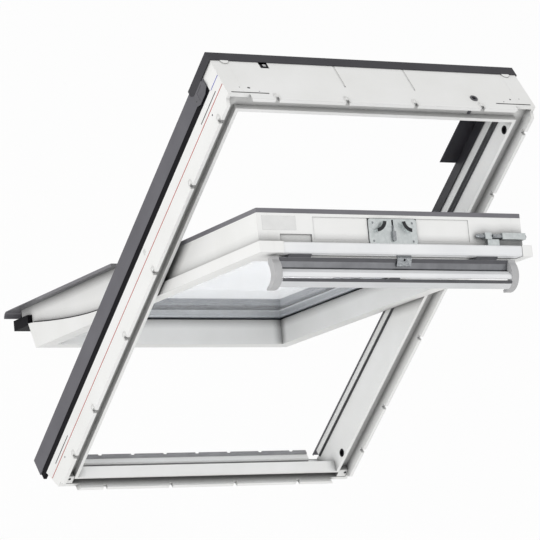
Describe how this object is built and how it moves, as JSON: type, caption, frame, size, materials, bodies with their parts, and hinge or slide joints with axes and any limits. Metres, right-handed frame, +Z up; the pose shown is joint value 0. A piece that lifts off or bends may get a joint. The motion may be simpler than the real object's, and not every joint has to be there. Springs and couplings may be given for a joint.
{
  "type": "roof skylight",
  "caption": "Centre-pivot roof window with a white moulded frame, a glazed sash tilted open, grey cladding, a top control bar, a ventilation flap and a barrel bolt.",
  "frame": {"origin": "middle of the sill on the plane of the lining lips, at the lower edge of the frame", "axes": "+X to the right seen from the room, +Y outwards through the roof, +Z up the slope"},
  "size_m": [0.7864, 0.8406, 1.2266],
  "materials": {
    "white_polyurethane": "satin lacquered moulded polyurethane",
    "grey_cladding": "matt grey lacquered sheet",
    "black_rubber": "extruded rubber",
    "dark_plastic": "moulded",
    "grey_tab": "moulded",
    "glass": "clear insulated pane",
    "spacer": "rolled",
    "flap_lacquer": "satin lacquer",
    "anodised_aluminium": "brushed and anodised",
    "cap_plastic": "moulded",
    "washer_plastic": "moulded",
    "galvanised_steel": "galvanised"
  },
  "bodies": {
    "frame": {"frame_left": "white_polyurethane", "frame_right": "white_polyurethane", "frame_head": "white_polyurethane", "frame_sill": "white_polyurethane", "left_side_cladding": "grey_cladding", "right_side_cladding": "grey_cladding", "head_casing": "grey_cladding", "left_upper_cover": "grey_cladding", "right_upper_cover": "grey_cladding", "sill_cladding": "grey_cladding", "sill_seal": "black_rubber", "left_outer_gasket": "black_rubber", "right_outer_gasket": "black_rubber", "left_inner_seal": "black_rubber", "right_inner_seal": "black_rubber", "left_hinge_plate": "galvanised_steel", "right_hinge_plate": "galvanised_steel", "hinge_plate_screws": "galvanised_steel", "bolt_bushes": "black_rubber", "cable_grommet": "dark_plastic", "corner_tabs": "grey_tab", "lock_keeper": "galvanised_steel"},
    "sash": {"sash_left_stile": "white_polyurethane", "sash_right_stile": "white_polyurethane", "sash_top_rail": "white_polyurethane", "sash_bottom_rail": "white_polyurethane", "inner_pane": "glass", "outer_pane": "glass", "pane_spacer": "spacer", "inner_glazing_gasket": "black_rubber", "outer_glazing_gasket": "black_rubber", "sash_top_cover": "grey_cladding", "sash_upper_left_cover": "grey_cladding", "sash_upper_right_cover": "grey_cladding", "sash_lower_left_cover": "grey_cladding", "sash_lower_right_cover": "grey_cladding", "sash_bottom_cover": "grey_cladding", "drip_profile": "black_rubber", "left_sash_seal": "black_rubber", "right_sash_seal": "black_rubber", "left_sash_plate": "galvanised_steel", "right_sash_plate": "galvanised_steel", "left_friction_washer": "washer_plastic", "right_friction_washer": "washer_plastic", "lock_plate": "galvanised_steel", "lock_screws": "galvanised_steel", "bolt_housing": "galvanised_steel", "bar_brackets": "dark_plastic"},
    "control_bar": {"ventilation_flap": "flap_lacquer", "bar_upper_profile": "anodised_aluminium", "bar_lower_profile": "anodised_aluminium", "bar_left_cap": "cap_plastic", "bar_right_cap": "cap_plastic", "bar_centre_bracket": "galvanised_steel", "bar_gusset": "dark_plastic", "bar_hinge_blocks": "dark_plastic"},
    "bolt": {"barrel_bolt": "galvanised_steel"},
    "latch": {"lock_latch": "galvanised_steel"}
  },
  "joints": [
    {"name": "sash_pivot", "type": "hinge", "parent": "frame", "child": "sash", "pos_m": [0, 0.115, 0.589], "axis": [1, 0, 0], "range_deg": [-36, 131]},
    {"name": "control_bar_hinge", "type": "hinge", "parent": "sash", "child": "control_bar", "pos_m": [0, -0.24167, 0.94296], "axis": [1, 0, 0], "range_deg": [0, 25]},
    {"name": "bolt_slide", "type": "slide", "parent": "sash", "child": "bolt", "axis": [1, 0, 0], "range_m": [0, 0.017]},
    {"name": "latch_slide", "type": "slide", "parent": "sash", "child": "latch", "axis": [0, -0.809, -0.5878], "range_m": [0, 0.005]}
  ],
  "couplings": [
    {"joint": "latch_slide", "follows": "control_bar_hinge", "m_per_rad": 0.0114}
  ]
}
